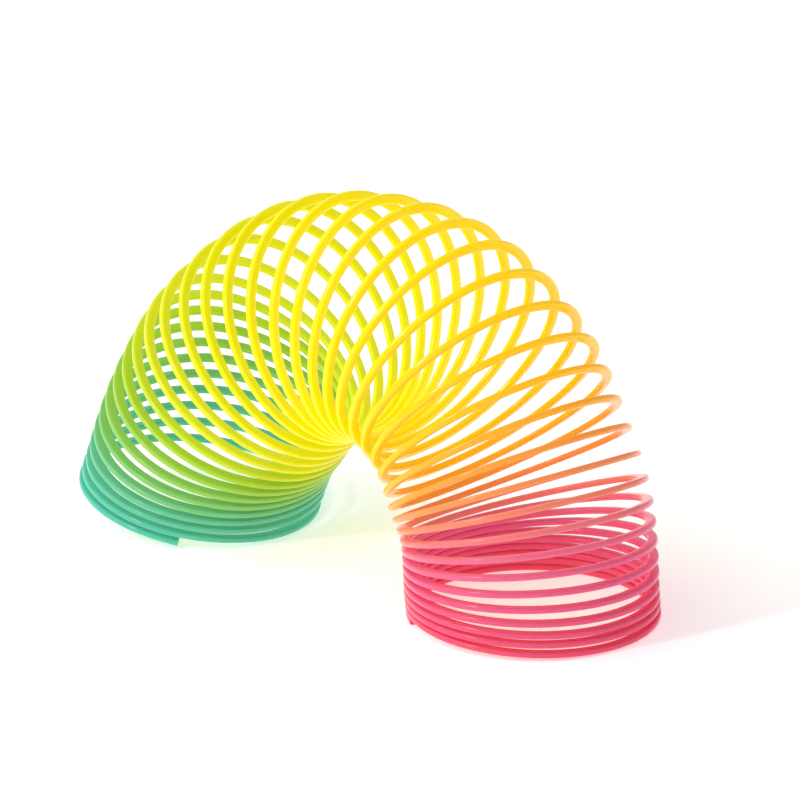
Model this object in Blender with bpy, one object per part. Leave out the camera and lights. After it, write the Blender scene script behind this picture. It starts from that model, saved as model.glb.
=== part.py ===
"""Spring coil toy, standing on both feet as an arch.

The toy is one long plastic strip of flat section, wound left-handed into a coil of round turns. The coil leaves the
left foot, climbs, bends over the crown and comes down to the right foot. Each turn is a sub-part of its own, cut
from the next where the strip crosses the inner side of the arch: there the strip twists when the toy bends, so that
is where one turn swings on the next. The last half turn lies flat on the floor; the left foot leans, and stands on
the inner side of its first turn.

Lengths are in metres, +Z is up, and +X runs from the left foot to the right one.
"""

import math

import bpy
import bmesh
import numpy as np
from mathutils import Vector

MM = 0.001

# The strip and the coil.
COIL_RADIUS = 36.0 * MM  # from the coil's axis to the middle of the strip
STRIP_WIDTH = 3.1 * MM  # across the strip, away from the axis
STRIP_THICKNESS = 1.75 * MM  # along the axis
STRIP_CHAMFER = 0.5 * MM
TURNS = 38
START_ANGLE = -56.0  # degrees from the inner side of the arch at which the strip begins
END_GAP = 0.3 * MM  # between the end faces of two neighbouring turns
STEPS_PER_TURN = 20

# The strip's right end lies flat on the floor, and climbs from there.
FLAT_TURNS = 0.55
CLIMB_TURNS = 0.50

# The way the coil's axis goes: turn number, X in mm, height of the turn's centre in mm, the way the turn faces in
# degrees (0 is straight up, 90 is along +X) and how far it leans sideways in degrees.
STATIONS = (
    (0, -67.8, 2.9, 10.3, 3.0),
    (2, -64.2, 12.1, 11.4, -2.5),
    (5, -58.6, 25.2, 18.3, -5.4),
    (8, -50.9, 38.3, 29.9, -1.7),
    (11, -40.6, 52.2, 42.6, 5.5),
    (14, -19.5, 69.2, 61.7, 3.7),
    (17, 3.8, 76.4, 85.0, 3.3),
    (20, 27.3, 74.8, 111.2, -0.9),
    (23, 47.4, 61.4, 132.4, -3.6),
    (26, 57.7, 44.0, 148.2, -2.2),
    (29, 64.6, 29.0, 162.1, -2.4),
    (32, 66.6, 16.3, 172.7, -1.2),
    (35, 67.2, 6.4, 179.1, -0.5),
    (38, 68.0, 0.0, 180.0, 0.0),
)

# The plastic's colour along the coil: turn number and red, green, blue as a screen shows them.
COLOURS = (
    (0, 80, 182, 165),
    (3, 90, 180, 140),
    (5, 120, 182, 100),
    (8, 158, 194, 46),
    (10, 206, 214, 24),
    (13, 224, 220, 0),
    (17, 244, 224, 0),
    (21, 247, 208, 0),
    (24, 244, 186, 8),
    (26, 237, 155, 58),
    (28, 229, 126, 96),
    (30, 222, 101, 122),
    (32, 219, 85, 122),
    (38, 218, 67, 94),
)


def smooth_values(turn):
    """The station values (x, height, facing, lean) at each turn number, joined without kinks."""
    knots = np.array([row[0] for row in STATIONS], float)
    values = np.array([row[1:] for row in STATIONS], float)
    gap = np.diff(knots)[:, None]
    rise = np.diff(values, axis=0) / gap
    slope = np.zeros_like(values)
    slope[1:-1] = (rise[:-1] * gap[1:] + rise[1:] * gap[:-1]) / (gap[1:] + gap[:-1])
    slope[0] = 1.5 * rise[0] - 0.5 * slope[1]
    slope[-1] = 1.5 * rise[-1] - 0.5 * slope[-2]
    turn = np.clip(np.atleast_1d(np.asarray(turn, float)), knots[0], knots[-1])
    first = np.clip(np.searchsorted(knots, turn, side="right") - 1, 0, len(knots) - 2)
    t = ((turn - knots[first]) / gap[first, 0])[:, None]
    ahead = (2 * t**3 - 3 * t**2 + 1) * values[first] + (3 * t**2 - 2 * t**3) * values[first + 1]
    bend = (t**3 - 2 * t**2 + t) * slope[first] + (t**3 - t**2) * slope[first + 1]
    return ahead + bend * gap[first]


def flatness(turn):
    """1 at the end of the right foot, where the strip lies flat on the floor, and 0 where it follows the arch."""
    t = np.clip((TURNS - turn - FLAT_TURNS) / CLIMB_TURNS, 0.0, 1.0)
    return 1.0 - t * t * (3.0 - 2.0 * t)


def frames(turn):
    """The strip's middle, its outward direction and its along-the-coil direction at each turn number."""
    turn = np.atleast_1d(np.asarray(turn, float))
    x, height, facing, lean = smooth_values(turn).T
    flat = flatness(turn)
    height = height * (1.0 - flat) + STRIP_THICKNESS / 2 / MM
    facing = facing * (1.0 - flat) + 180.0 * flat
    psi = np.radians(facing)
    beta = np.radians(lean * (1.0 - flat))
    zero = np.zeros_like(psi)
    path = np.stack([np.sin(psi), zero, np.cos(psi)], axis=1)
    inner = np.stack([np.cos(psi), zero, -np.sin(psi)], axis=1)
    side = np.stack([zero, zero + 1.0, zero], axis=1)
    cos_lean = np.cos(beta)[:, None]
    sin_lean = np.sin(beta)[:, None]
    across = side * cos_lean - path * sin_lean
    along = path * cos_lean + side * sin_lean
    angle = np.radians(START_ANGLE - 360.0 * turn)[:, None]
    outward = np.cos(angle) * inner + np.sin(angle) * across
    centre = np.stack([x, zero, height], axis=1) * MM
    return centre + COIL_RADIUS * outward, outward, along


def section_points(turn):
    """The eight corners of the strip's chamfered section at each turn number."""
    middle, outward, along = frames(turn)
    half_w = STRIP_WIDTH / 2
    half_t = STRIP_THICKNESS / 2
    cut = STRIP_CHAMFER
    corners = (
        (half_w, half_t - cut),
        (half_w - cut, half_t),
        (cut - half_w, half_t),
        (-half_w, half_t - cut),
        (-half_w, cut - half_t),
        (cut - half_w, -half_t),
        (half_w - cut, -half_t),
        (half_w, cut - half_t),
    )
    return np.stack([middle + outward * a + along * b for a, b in corners], axis=1)


def seams():
    """The turn numbers at which the strip crosses the inner side of the arch."""
    first = START_ANGLE / 360.0 + 1.0
    return [first + k for k in range(TURNS - 1)]


def turn_rings(start, end):
    """Turn numbers of the rings of one piece, on a grid of angles that all the turns share."""
    step = 1.0 / STEPS_PER_TURN
    origin = seams()[0]
    low = math.ceil((start - origin) / step + 0.25)
    high = math.floor((end - origin) / step - 0.25)
    inside = [origin + k * step for k in range(low, high + 1)]
    return np.array([start] + inside + [end])


def turn_spans():
    """Start and end turn number of every piece, with the gap between neighbours taken off."""
    gap = END_GAP / (2.0 * math.pi * COIL_RADIUS)
    cuts = seams()
    starts = [0.0] + [cut + gap / 2 for cut in cuts]
    ends = [cut - gap / 2 for cut in cuts] + [float(TURNS)]
    return list(zip(starts, ends))


def screen_to_linear(value):
    value = value / 255.0
    if value <= 0.04045:
        return value / 12.92
    return ((value + 0.055) / 1.055) ** 2.4


def colour_at(turn):
    knots = [row[0] for row in COLOURS]
    return [screen_to_linear(np.interp(turn, knots, [row[c] for row in COLOURS])) for c in (1, 2, 3)]


def plastic(name, turn):
    material = bpy.data.materials.new(name)
    material.use_nodes = True
    shader = material.node_tree.nodes["Principled BSDF"]
    shader.inputs["Base Color"].default_value = (*colour_at(turn), 1.0)
    shader.inputs["Roughness"].default_value = 0.22
    return material


def strip_object(name, rings, pivot, collection, material):
    """One closed piece of strip: rings of eight corners joined by faces, with a flat face on each end."""
    mesh = bpy.data.meshes.new(name)
    bm = bmesh.new()
    rows = [[bm.verts.new(Vector(corner) - pivot) for corner in ring] for ring in rings]
    for here, there in zip(rows[:-1], rows[1:]):
        for k in range(8):
            after = (k + 1) % 8
            bm.faces.new((here[k], here[after], there[after], there[k]))
    bm.faces.new(rows[0])
    bm.faces.new(rows[-1][::-1])
    bmesh.ops.recalc_face_normals(bm, faces=bm.faces)
    bm.to_mesh(mesh)
    bm.free()
    mesh.materials.append(material)
    piece = bpy.data.objects.new(name, mesh)
    piece.location = pivot
    collection.objects.link(piece)
    return piece


def build():
    for old in list(bpy.data.objects):
        bpy.data.objects.remove(old, do_unlink=True)
    collection = bpy.data.collections.new("spring_coil_toy")
    bpy.context.scene.collection.children.link(collection)

    pieces = [section_points(turn_rings(start, end)) for start, end in turn_spans()]
    corners = np.concatenate([rings.reshape(-1, 3) for rings in pieces])
    low = corners.min(axis=0)
    high = corners.max(axis=0)
    shift = np.array([-(low[0] + high[0]) / 2, -(low[1] + high[1]) / 2, -low[2]])
    hinges = frames(np.array([0.0] + seams()))[0] + shift

    for number, rings in enumerate(pieces):
        name = f"coil_turn_{number + 1:02d}"
        start, end = turn_spans()[number]
        material = plastic(f"plastic_turn_{number + 1:02d}", (start + end) / 2)
        strip_object(name, rings + shift, Vector(hinges[number]), collection, material)


build()
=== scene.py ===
"""Spring coil toy: a rainbow strip of glossy plastic wound into a coil, standing on both feet as an arch.

Every turn of the strip is two pieces: a bend at the inner side of the arch and a round that goes over the
outer side and keeps its shape.
"""

import math

import bpy
import numpy as np
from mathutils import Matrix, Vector


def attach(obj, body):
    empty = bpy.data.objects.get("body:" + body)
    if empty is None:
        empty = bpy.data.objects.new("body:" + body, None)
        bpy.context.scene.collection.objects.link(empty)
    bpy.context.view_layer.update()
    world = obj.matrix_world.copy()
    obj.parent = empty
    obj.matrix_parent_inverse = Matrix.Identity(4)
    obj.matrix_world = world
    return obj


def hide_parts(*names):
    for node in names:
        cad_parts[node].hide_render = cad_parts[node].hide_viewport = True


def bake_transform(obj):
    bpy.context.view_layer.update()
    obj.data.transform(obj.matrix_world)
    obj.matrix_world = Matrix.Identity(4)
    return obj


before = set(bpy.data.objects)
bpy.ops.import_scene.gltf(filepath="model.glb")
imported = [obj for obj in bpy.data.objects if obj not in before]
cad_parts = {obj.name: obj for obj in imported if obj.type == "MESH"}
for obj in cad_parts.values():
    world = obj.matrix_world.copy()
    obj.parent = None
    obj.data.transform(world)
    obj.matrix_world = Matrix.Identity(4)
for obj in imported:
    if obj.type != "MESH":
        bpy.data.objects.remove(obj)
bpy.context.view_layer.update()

bl_info = {
    "name": "Spring Coil Toy",
    "version": (1, 0, 0),
    "blender": (4, 5, 0),
    "location": "3D View > Sidebar > Coil Toy",
    "description": "Builds a rainbow spring coil toy standing as an arch",
    "category": "Object",
}

ALONG_COIL = "along_coil"  # the UV map that says how far along the coil a point is
MM = 0.001
QUARTER = 0.25  # of a turn
TURNS = 38
START_ANGLE = -56.0  # degrees from the inner side of the arch at which the strip begins
FLAT_TURNS = 0.55  # the strip's right end lies flat on the floor for this long
CLIMB_TURNS = 0.50  # and then take this long to reach the coil's own slope
LEFT_FOOT_TURNS = 4  # turns of the left foot that move as one
LEFT_LEG_END = 9  # the last turn of the left leg
CROWN_END = 23  # the last turn of the crown
RIGHT_FOOT_TURNS = 5  # turns of the right foot that move as one

# The stage.
FLOOR_SIZE = 12.0
FLOOR_DEPTH = 0.2 * MM  # the floor's top lies this far under the arch
LAMP_AIM = (0.0, 0.0, 50.0 * MM)
ARCH_MIDDLE_HEIGHT = 50.9 * MM
AIM_RIGHT = 11.77 * MM  # the camera looks this far to the right of the arch's middle
AIM_DOWN = 0.32 * MM
CAMERA_LENS = 223.6  # focal length in mm, on a sensor 36 mm wide
CAMERA_SENSOR = 36.0
CAMERA_REACH = 20.0

# The way the coil's axis goes: turn number, X in mm, height of the turn's centre in mm, the way the turn faces in
# degrees (0 is straight up, 90 is along +X) and how far it leans sideways in degrees.
STATIONS = (
    (0, -67.8, 2.9, 10.3, 3.0),
    (2, -64.2, 12.1, 11.4, -2.5),
    (5, -58.6, 25.2, 18.3, -5.4),
    (8, -50.9, 38.3, 29.9, -1.7),
    (11, -40.6, 52.2, 42.6, 5.5),
    (14, -19.5, 69.2, 61.7, 3.7),
    (17, 3.8, 76.4, 85.0, 3.3),
    (20, 27.3, 74.8, 111.2, -0.9),
    (23, 47.4, 61.4, 132.4, -3.6),
    (26, 57.7, 44.0, 148.2, -2.2),
    (29, 64.6, 29.0, 162.1, -2.4),
    (32, 66.6, 16.3, 172.7, -1.2),
    (35, 67.2, 6.4, 179.1, -0.5),
    (38, 68.0, 0.0, 180.0, 0.0),
)

# Where along the coil each colour of the panel stands, in turns.
COLOUR_TURNS = {
    "teal": 0.0,
    "green": 3.0,
    "leaf": 5.0,
    "lime": 8.0,
    "lemon": 10.0,
    "yellow": 13.0,
    "sun": 17.0,
    "gold": 21.0,
    "amber": 24.0,
    "orange": 26.0,
    "salmon": 28.0,
    "coral": 30.0,
    "rose": 32.0,
    "pink": 38.0,
}


def screen_to_linear(red, green, blue):
    """The light a colour stands for, from the 0 to 255 values that a screen shows."""
    shares = [value / 255.0 for value in (red, green, blue)]
    return tuple(s / 12.92 if s <= 0.04045 else ((s + 0.055) / 1.055) ** 2.4 for s in shares)


def colour_property(label, red, green, blue):
    """A colour on the panel, from the 0 to 255 values that a screen shows."""
    return bpy.props.FloatVectorProperty(
        name=label,
        description=f"{label} of the rainbow that runs along the coil",
        subtype="COLOR",
        size=3,
        min=0.0,
        max=1.0,
        default=screen_to_linear(red, green, blue),
    )


class CoilSizes(bpy.types.PropertyGroup):
    """The strip's section and how finely it is modelled."""

    coil_radius: bpy.props.FloatProperty(
        name="Coil radius",
        description="From the coil's axis to the middle of the strip",
        default=36.0 * MM,
        unit="LENGTH",
    )
    strip_width: bpy.props.FloatProperty(
        name="Strip width",
        description="Across the strip, away from the coil's axis",
        default=3.15 * MM,
        unit="LENGTH",
    )
    strip_thickness: bpy.props.FloatProperty(
        name="Strip thickness",
        description="Along the coil's axis",
        default=1.82 * MM,
        unit="LENGTH",
    )
    edge_radius: bpy.props.FloatProperty(
        name="Edge radius",
        description="Rounding of the strip's four long edges",
        default=0.62 * MM,
        unit="LENGTH",
    )
    twist_length: bpy.props.FloatProperty(
        name="Twist length",
        description="Half the stretch of strip that twists when one turn swings on the next",
        default=5.0 * MM,
        unit="LENGTH",
    )
    steps: bpy.props.IntProperty(
        name="Steps in a turn",
        description="Short straight lengths that one turn of the strip is made of",
        default=96,
        min=24,
        max=100,
    )


class CoilColours(bpy.types.PropertyGroup):
    """The rainbow along the coil, from the left foot to the right one, and the plastic's gloss."""

    teal: colour_property("Teal", 86, 184, 162)
    green: colour_property("Green", 98, 182, 146)
    leaf: colour_property("Leaf green", 128, 186, 106)
    lime: colour_property("Lime", 164, 198, 50)
    lemon: colour_property("Lemon", 210, 217, 36)
    yellow: colour_property("Yellow", 223, 224, 0)
    sun: colour_property("Sun yellow", 241, 229, 0)
    gold: colour_property("Gold", 246, 214, 0)
    amber: colour_property("Amber", 244, 192, 0)
    orange: colour_property("Orange", 232, 160, 58)
    salmon: colour_property("Salmon", 222, 136, 108)
    coral: colour_property("Coral", 217, 110, 138)
    rose: colour_property("Rose", 215, 95, 136)
    pink: colour_property("Pink", 216, 80, 108)
    roughness: bpy.props.FloatProperty(
        name="Roughness",
        description="How soft the plastic's shine is",
        default=0.17,
        min=0.0,
        max=1.0,
        subtype="FACTOR",
    )
    milkiness: bpy.props.FloatProperty(
        name="Milkiness",
        description="Share of the light that goes into the plastic and comes out beside where it went in",
        default=0.7,
        min=0.0,
        max=1.0,
        subtype="FACTOR",
    )


class StageSettings(bpy.types.PropertyGroup):
    """The floor, the lamps and the camera."""

    floor_colour: bpy.props.FloatVectorProperty(
        name="Floor",
        description="Colour of the floor and of the room round it",
        subtype="COLOR",
        size=3,
        min=0.0,
        max=1.0,
        default=(0.95, 0.95, 0.95),
    )
    floor_glow: bpy.props.FloatProperty(
        name="Floor glow",
        description="Light that the floor gives off, which keeps its shadows pale",
        default=0.42,
        min=0.0,
    )
    room_light: bpy.props.FloatProperty(
        name="Room light",
        description="Strength of the even light from all round",
        default=0.5,
        min=0.0,
    )
    key_power: bpy.props.FloatProperty(
        name="Key lamp power",
        description="Strength of the small lamp in front, which gives the plastic its highlights",
        default=4.55,
        unit="POWER",
    )
    sky_power: bpy.props.FloatProperty(
        name="Sky lamp power",
        description="Strength of the large soft lamp above the left foot",
        default=8.45,
        unit="POWER",
    )
    camera_turn: bpy.props.FloatProperty(
        name="Camera turn",
        description="How far the camera stands round to the right of the arch's front",
        default=math.radians(41.9),
        unit="ROTATION",
    )
    camera_height: bpy.props.FloatProperty(
        name="Camera height",
        description="How far the camera looks down",
        default=math.radians(19.2),
        unit="ROTATION",
    )
    camera_distance: bpy.props.FloatProperty(
        name="Camera distance",
        description="From the camera to the middle of the arch",
        default=1.485,
        unit="LENGTH",
    )


def smooth_values(turn):
    """The station values (x, height, facing, lean) at each turn number, joined without kinks."""
    knots = np.array([row[0] for row in STATIONS], float)
    values = np.array([row[1:] for row in STATIONS], float)
    gap = np.diff(knots)[:, None]
    rise = np.diff(values, axis=0) / gap
    slope = np.zeros_like(values)
    slope[1:-1] = (rise[:-1] * gap[1:] + rise[1:] * gap[:-1]) / (gap[1:] + gap[:-1])
    slope[0] = 1.5 * rise[0] - 0.5 * slope[1]
    slope[-1] = 1.5 * rise[-1] - 0.5 * slope[-2]
    turn = np.clip(np.atleast_1d(np.asarray(turn, float)), knots[0], knots[-1])
    first = np.clip(np.searchsorted(knots, turn, side="right") - 1, 0, len(knots) - 2)
    t = ((turn - knots[first]) / gap[first, 0])[:, None]
    ahead = (2 * t**3 - 3 * t**2 + 1) * values[first] + (3 * t**2 - 2 * t**3) * values[first + 1]
    bend = (t**3 - 2 * t**2 + t) * slope[first] + (t**3 - t**2) * slope[first + 1]
    return ahead + bend * gap[first]


def flatness(turn):
    """1 at the end of the right foot, where the strip lies flat on the floor, and 0 where it follows the arch."""
    t = np.clip((TURNS - turn - FLAT_TURNS) / CLIMB_TURNS, 0.0, 1.0)
    return 1.0 - t * t * (3.0 - 2.0 * t)


def unplaced_frames(turn, sizes):
    """The strip's middle, its outward direction and its along-the-coil direction, before the arch is centred."""
    turn = np.atleast_1d(np.asarray(turn, float))
    x, height, facing, lean = smooth_values(turn).T
    flat = flatness(turn)
    height = height * (1.0 - flat) + sizes.strip_thickness / 2 / MM
    facing = facing * (1.0 - flat) + 180.0 * flat
    psi = np.radians(facing)
    beta = np.radians(lean * (1.0 - flat))
    zero = np.zeros_like(psi)
    path = np.stack([np.sin(psi), zero, np.cos(psi)], axis=1)
    inner = np.stack([np.cos(psi), zero, -np.sin(psi)], axis=1)
    side = np.stack([zero, zero + 1.0, zero], axis=1)
    cos_lean = np.cos(beta)[:, None]
    sin_lean = np.sin(beta)[:, None]
    across = side * cos_lean - path * sin_lean
    along = path * cos_lean + side * sin_lean
    angle = np.radians(START_ANGLE - 360.0 * turn)[:, None]
    outward = np.cos(angle) * inner + np.sin(angle) * across
    centre = np.stack([x, zero, height], axis=1) * MM
    return centre + sizes.coil_radius * outward, outward, along


def placing(sizes):
    """What moves the arch's middle over the origin and its lowest edge on to the floor, as the frame's is."""
    middle, outward, along = unplaced_frames(np.arange(0.0, TURNS, 0.002), sizes)
    half_w, half_t, cut = sizes.strip_width / 2, sizes.strip_thickness / 2, sizes.edge_radius
    edges = np.concatenate(
        [
            middle + outward * side * a + along * face * b
            for side in (-1, 1)
            for face in (-1, 1)
            for a, b in ((half_w, half_t - cut), (half_w - cut, half_t))
        ]
    )
    low, high = edges.min(axis=0), edges.max(axis=0)
    return np.array([-(low[0] + high[0]) / 2, 0.0, -low[2]])


def frames(turn, sizes):
    """The strip's middle, its outward direction and its along-the-coil direction at each turn number."""
    middle, outward, along = unplaced_frames(turn, sizes)
    return middle + placing(sizes), outward, along


def seam_turn(number):
    """How far along the coil turn number crosses the inner side of the arch and the next one begins."""
    return START_ANGLE / 360.0 + number


def deselect_all():
    """Leaves nothing selected, in object mode."""
    if bpy.context.mode != "OBJECT":
        bpy.ops.object.mode_set(mode="OBJECT")
    bpy.ops.object.select_all(action="DESELECT")


def select_long_edges(strip):
    """Picks, in edit mode, the edges that run the strip's whole length."""
    bpy.ops.mesh.select_all(action="DESELECT")
    bpy.ops.object.mode_set(mode="OBJECT")
    for edge in strip.data.edges:
        ends = [strip.data.vertices[index].co.x for index in edge.vertices]
        edge.select = abs(ends[0] - ends[1]) > 0.5
    bpy.ops.object.mode_set(mode="EDIT")


def straight_strip(name, sizes, steps):
    """A straight strip from X = 0 to X = 1: a block whose long edges are rounded, cut across into short lengths."""
    deselect_all()
    bpy.ops.mesh.primitive_cube_add(
        size=1.0,
        location=(0.5, 0.0, 0.0),
        scale=(1.0, sizes.strip_width, sizes.strip_thickness),
    )
    strip = bpy.context.active_object
    strip.name = name
    strip.data.name = name
    bpy.ops.object.transform_apply(location=True, rotation=True, scale=True)
    bpy.ops.object.mode_set(mode="EDIT")
    bpy.ops.mesh.select_mode(type="EDGE")
    select_long_edges(strip)
    bpy.ops.mesh.bevel(offset=sizes.edge_radius, segments=3, profile=0.5, affect="EDGES")
    select_long_edges(strip)
    bpy.ops.mesh.subdivide(number_cuts=steps - 1)
    bpy.ops.mesh.select_all(action="DESELECT")
    bpy.ops.object.mode_set(mode="OBJECT")
    return strip


def wind(strip, start, end, sizes):
    """Winds a straight strip on to the coil from turn number start to end, and marks its place along the rainbow."""
    mesh = strip.data
    count = len(mesh.vertices)
    corners = np.empty(count * 3)
    mesh.vertices.foreach_get("co", corners)
    corners = corners.reshape(-1, 3)
    turn = start + (end - start) * corners[:, 0]
    middle, outward, along = frames(turn, sizes)
    wound = middle + outward * corners[:, 1:2] + along * corners[:, 2:3]
    mesh.vertices.foreach_set("co", wound.ravel())

    around = np.arctan2(corners[:, 2], corners[:, 1]) / (2.0 * math.pi) + 0.5
    owner = np.empty(len(mesh.loops), dtype=np.int32)
    mesh.loops.foreach_get("vertex_index", owner)
    while mesh.uv_layers:
        mesh.uv_layers.remove(mesh.uv_layers[0])
    layer = mesh.uv_layers.new(name=ALONG_COIL)
    places = np.stack([turn[owner] / TURNS, around[owner]], axis=1)
    layer.uv.foreach_set("vector", places.astype(np.float32).ravel())
    mesh.update()


def shade(strip, material):
    """Smooths the strip's long faces, keeps its ends crisp and gives it its material."""
    deselect_all()
    strip.select_set(True)
    bpy.context.view_layer.objects.active = strip
    bpy.ops.object.shade_smooth_by_angle(angle=math.radians(40.0))
    strip.data.materials.clear()
    strip.data.materials.append(material)


def wound_piece(name, start, end, sizes, material):
    """One finished piece of the strip, from turn number start to end."""
    steps = max(4, round(sizes.steps * (end - start)))
    strip = straight_strip(name, sizes, steps)
    wind(strip, start, end, sizes)
    shade(strip, material)
    return strip


def body_of(number):
    """The body that a turn belongs to."""
    if number <= LEFT_FOOT_TURNS:
        return "left_foot"
    if number > TURNS - RIGHT_FOOT_TURNS:
        return "right_foot"
    return f"turn_{number:02d}"


def strip_piece(name, start, end, number):
    """A finished piece of the strip, which stands for turn number."""
    piece = wound_piece(name, start, end, bpy.context.scene.coil_sizes, rainbow_plastic())
    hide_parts(f"coil_turn_{number:02d}")
    return piece


def add_bend(number):
    """The half turn round the inner side of the arch, where turn number begins; it goes on the turn's body when the
    turn before is on the same one.
    """
    sizes = bpy.context.scene.coil_sizes
    seam = seam_turn(number - 1)
    piece = strip_piece(f"bend_{number:02d}", seam - QUARTER, seam + QUARTER, number)
    if body_of(number - 1) == body_of(number):
        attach(piece, body_of(number))
        return
    before, middle = frames([seam - 0.01, seam], sizes)[0]
    forward = middle - before
    forward /= np.linalg.norm(forward)
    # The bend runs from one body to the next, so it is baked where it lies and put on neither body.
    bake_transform(piece)


def add_round(number):
    """The rest of turn number, over the outer side of the arch. The first and the last also have a free end."""
    start = seam_turn(number - 1) + QUARTER if number > 1 else 0.0
    end = seam_turn(number) - QUARTER if number < TURNS else float(TURNS)
    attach(strip_piece(f"round_{number:02d}", start, end, number), body_of(number))


def rainbow_plastic():
    """Glossy, slightly milky plastic whose colour changes along the coil, with a painted glow in its own colour."""
    found = bpy.data.materials.get("rainbow plastic")
    if found:
        return found
    colours = bpy.context.scene.coil_colours
    material = bpy.data.materials.new("rainbow plastic")
    material.use_nodes = True
    tree = material.node_tree
    nodes, links = tree.nodes, tree.links
    shader = nodes["Principled BSDF"]

    place = nodes.new("ShaderNodeUVMap")
    place.uv_map = ALONG_COIL
    parts = nodes.new("ShaderNodeSeparateXYZ")
    links.new(place.outputs["UV"], parts.inputs["Vector"])

    rainbow = nodes.new("ShaderNodeValToRGB")
    rainbow.label = "rainbow along the coil"
    ramp = rainbow.color_ramp
    ramp.interpolation = "LINEAR"
    for name, turn in COLOUR_TURNS.items():
        ends = {0.0: 0, float(TURNS): -1}
        stop = ramp.elements[ends[turn]] if turn in ends else ramp.elements.new(turn / TURNS)
        stop.color = (*getattr(colours, name), 1.0)
    links.new(parts.outputs["X"], rainbow.inputs["Fac"])

    where = nodes.new("ShaderNodeTexCoord")
    clouds = nodes.new("ShaderNodeTexNoise")
    clouds.label = "uneven pigment"
    clouds.inputs["Scale"].default_value = 45.0
    clouds.inputs["Detail"].default_value = 2.0
    links.new(where.outputs["Object"], clouds.inputs["Vector"])
    strength = nodes.new("ShaderNodeMapRange")
    strength.inputs["To Min"].default_value = 0.94
    strength.inputs["To Max"].default_value = 1.04
    links.new(clouds.outputs["Fac"], strength.inputs["Value"])
    pigment = nodes.new("ShaderNodeHueSaturation")
    links.new(strength.outputs["Result"], pigment.inputs["Value"])
    links.new(rainbow.outputs["Color"], pigment.inputs["Color"])
    links.new(pigment.outputs["Color"], shader.inputs["Base Color"])

    handling = nodes.new("ShaderNodeTexNoise")
    handling.label = "dulled by handling"
    handling.inputs["Scale"].default_value = 320.0
    handling.inputs["Detail"].default_value = 4.0
    links.new(where.outputs["Object"], handling.inputs["Vector"])
    dulling = nodes.new("ShaderNodeMapRange")
    dulling.inputs["To Min"].default_value = colours.roughness - 0.05
    dulling.inputs["To Max"].default_value = colours.roughness + 0.07
    links.new(handling.outputs["Fac"], dulling.inputs["Value"])
    links.new(dulling.outputs["Result"], shader.inputs["Roughness"])

    ripple = nodes.new("ShaderNodeTexNoise")
    ripple.label = "ripple left by the mould"
    ripple.inputs["Scale"].default_value = 160.0
    links.new(where.outputs["Object"], ripple.inputs["Vector"])
    bump = nodes.new("ShaderNodeBump")
    bump.inputs["Strength"].default_value = 0.10
    bump.inputs["Distance"].default_value = 0.00025
    links.new(ripple.outputs["Fac"], bump.inputs["Height"])
    links.new(bump.outputs["Normal"], shader.inputs["Normal"])

    # Painted light: the plastic glows in its own colour whatever the lamps do, which lifts its shaded faces and
    # brightens its colours; no lamp causes it.
    painted_glow = nodes.new("ShaderNodeGamma")
    painted_glow.inputs["Gamma"].default_value = 1.5
    links.new(pigment.outputs["Color"], painted_glow.inputs["Color"])
    links.new(painted_glow.outputs["Color"], shader.inputs["Emission Color"])
    shader.inputs["Emission Strength"].default_value = 0.32
    shader.inputs["IOR"].default_value = 1.49
    shader.inputs["Specular IOR Level"].default_value = 0.35
    shader.inputs["Subsurface Weight"].default_value = colours.milkiness
    shader.inputs["Subsurface Radius"].default_value = (1.0, 0.8, 0.6)
    shader.inputs["Subsurface Scale"].default_value = 0.0014
    return material


def add_turns(first, last):
    """Adds every turn from first to last."""
    for number in range(first, last + 1):
        if number > 1:
            add_bend(number)
        add_round(number)


class COIL_OT_left_foot(bpy.types.Operator):
    """Add the left foot's turns, from the strip's left free end up"""

    bl_idname = "coil_toy.left_foot"
    bl_label = "Left foot"

    def execute(self, context):
        add_turns(1, LEFT_FOOT_TURNS)
        return {"FINISHED"}


class COIL_OT_left_leg(bpy.types.Operator):
    """Add the turns that climb from the left foot"""

    bl_idname = "coil_toy.left_leg"
    bl_label = "Left leg"

    def execute(self, context):
        add_turns(LEFT_FOOT_TURNS + 1, LEFT_LEG_END)
        return {"FINISHED"}


class COIL_OT_crown(bpy.types.Operator):
    """Add the fanned turns that go over the top of the arch"""

    bl_idname = "coil_toy.crown"
    bl_label = "Crown"

    def execute(self, context):
        add_turns(LEFT_LEG_END + 1, CROWN_END)
        return {"FINISHED"}


class COIL_OT_right_leg(bpy.types.Operator):
    """Add the turns that come down to the right foot"""

    bl_idname = "coil_toy.right_leg"
    bl_label = "Right leg"

    def execute(self, context):
        add_turns(CROWN_END + 1, TURNS - RIGHT_FOOT_TURNS)
        return {"FINISHED"}


class COIL_OT_right_foot(bpy.types.Operator):
    """Add the close-set turns of the right foot, down to the strip's other free end"""

    bl_idname = "coil_toy.right_foot"
    bl_label = "Right foot"

    def execute(self, context):
        add_turns(TURNS - RIGHT_FOOT_TURNS + 1, TURNS)
        return {"FINISHED"}


def point_at(thing, target):
    """Turns a lamp or a camera to look at a point, with its own up side up."""
    thing.rotation_mode = "QUATERNION"
    thing.rotation_quaternion = (Vector(target) - thing.location).to_track_quat("-Z", "Y")


def add_softbox(name, location, size, power):
    """A soft rectangular lamp that shines on the arch."""
    bpy.ops.object.light_add(type="AREA", location=location)
    lamp = bpy.context.active_object
    lamp.name = name
    lamp.data.shape = "RECTANGLE"
    lamp.data.size, lamp.data.size_y = size
    lamp.data.energy = power
    point_at(lamp, LAMP_AIM)


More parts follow.
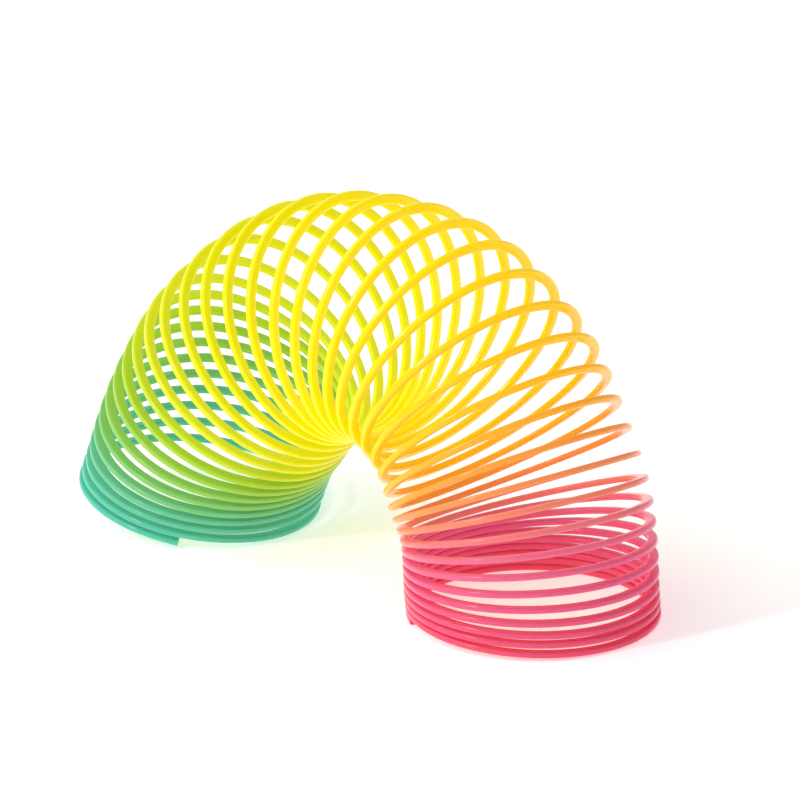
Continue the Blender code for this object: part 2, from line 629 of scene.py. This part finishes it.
class COIL_OT_stage(bpy.types.Operator):
    """Add the pale floor, the soft lamps and the camera"""

    bl_idname = "coil_toy.stage"
    bl_label = "Stage"

    def execute(self, context):
        settings = context.scene.coil_stage
        deselect_all()
        bpy.ops.mesh.primitive_plane_add(size=FLOOR_SIZE, location=(0.0, 0.0, 0.0))
        floor = context.active_object
        floor.name = "floor"
        floor.location.z = -FLOOR_DEPTH
        bpy.ops.object.transform_apply(location=True, rotation=True, scale=True)
        paint = bpy.data.materials.new("floor paint")
        paint.use_nodes = True
        shader = paint.node_tree.nodes["Principled BSDF"]
        shader.inputs["Base Color"].default_value = (*settings.floor_colour, 1.0)
        shader.inputs["Roughness"].default_value = 0.9
        shader.inputs["Specular IOR Level"].default_value = 0.1
        shader.inputs["Emission Color"].default_value = (1.0, 1.0, 1.0, 1.0)
        shader.inputs["Emission Strength"].default_value = settings.floor_glow
        floor.data.materials.append(paint)

        world = bpy.data.worlds.new("pale room")
        world.use_nodes = True
        sky = world.node_tree.nodes["Background"]
        sky.inputs["Color"].default_value = (1.0, 1.0, 1.0, 1.0)
        sky.inputs["Strength"].default_value = settings.room_light
        context.scene.world = world
        context.scene.view_settings.view_transform = "Standard"

        add_softbox("key lamp", (-0.30, -1.02, 0.72), (0.09, 0.22), settings.key_power)
        add_softbox("sky lamp", (-0.95, -0.7, 1.3), (1.3, 1.3), settings.sky_power)

        turn, height = settings.camera_turn, settings.camera_height
        back = Vector((math.sin(turn) * math.cos(height), -math.cos(turn) * math.cos(height), math.sin(height)))
        right = Vector((math.cos(turn), math.sin(turn), 0.0))
        up = back.cross(right)
        middle = Vector((placing(context.scene.coil_sizes)[0], 0.0, ARCH_MIDDLE_HEIGHT))
        bpy.ops.object.camera_add(location=middle + back * settings.camera_distance)
        camera = context.active_object
        camera.name = "camera"
        camera.data.lens = CAMERA_LENS
        camera.data.sensor_width = CAMERA_SENSOR
        camera.data.clip_end = CAMERA_REACH
        point_at(camera, middle + right * AIM_RIGHT - up * AIM_DOWN)
        context.scene.camera = camera
        deselect_all()
        return {"FINISHED"}


class COIL_PT_panel(bpy.types.Panel):
    """Sizes, colours and pieces of the spring coil toy"""

    bl_idname = "COIL_PT_panel"
    bl_label = "Spring Coil Toy"
    bl_space_type = "VIEW_3D"
    bl_region_type = "UI"
    bl_category = "Coil Toy"

    def draw(self, context):
        layout = self.layout
        for title, group in (
            ("Sizes", context.scene.coil_sizes),
            ("Colours", context.scene.coil_colours),
            ("Stage", context.scene.coil_stage),
        ):
            box = layout.box()
            box.label(text=title)
            for key in group.__annotations__:
                box.prop(group, key)
        for operator in OPERATORS:
            layout.operator(operator.bl_idname)


OPERATORS = (
    COIL_OT_left_foot,
    COIL_OT_left_leg,
    COIL_OT_crown,
    COIL_OT_right_leg,
    COIL_OT_right_foot,
    COIL_OT_stage,
)
CLASSES = (CoilSizes, CoilColours, StageSettings, *OPERATORS, COIL_PT_panel)


def register():
    for cls in CLASSES:
        bpy.utils.register_class(cls)
    bpy.types.Scene.coil_sizes = bpy.props.PointerProperty(type=CoilSizes)
    bpy.types.Scene.coil_colours = bpy.props.PointerProperty(type=CoilColours)
    bpy.types.Scene.coil_stage = bpy.props.PointerProperty(type=StageSettings)


def unregister():
    del bpy.types.Scene.coil_stage
    del bpy.types.Scene.coil_colours
    del bpy.types.Scene.coil_sizes
    for cls in reversed(CLASSES):
        bpy.utils.unregister_class(cls)


def main():
    register()
    bpy.ops.coil_toy.left_foot()
    bpy.ops.coil_toy.left_leg()
    bpy.ops.coil_toy.crown()
    bpy.ops.coil_toy.right_leg()
    bpy.ops.coil_toy.right_foot()
    bpy.ops.coil_toy.stage()


if __name__ == "__main__":
    main()
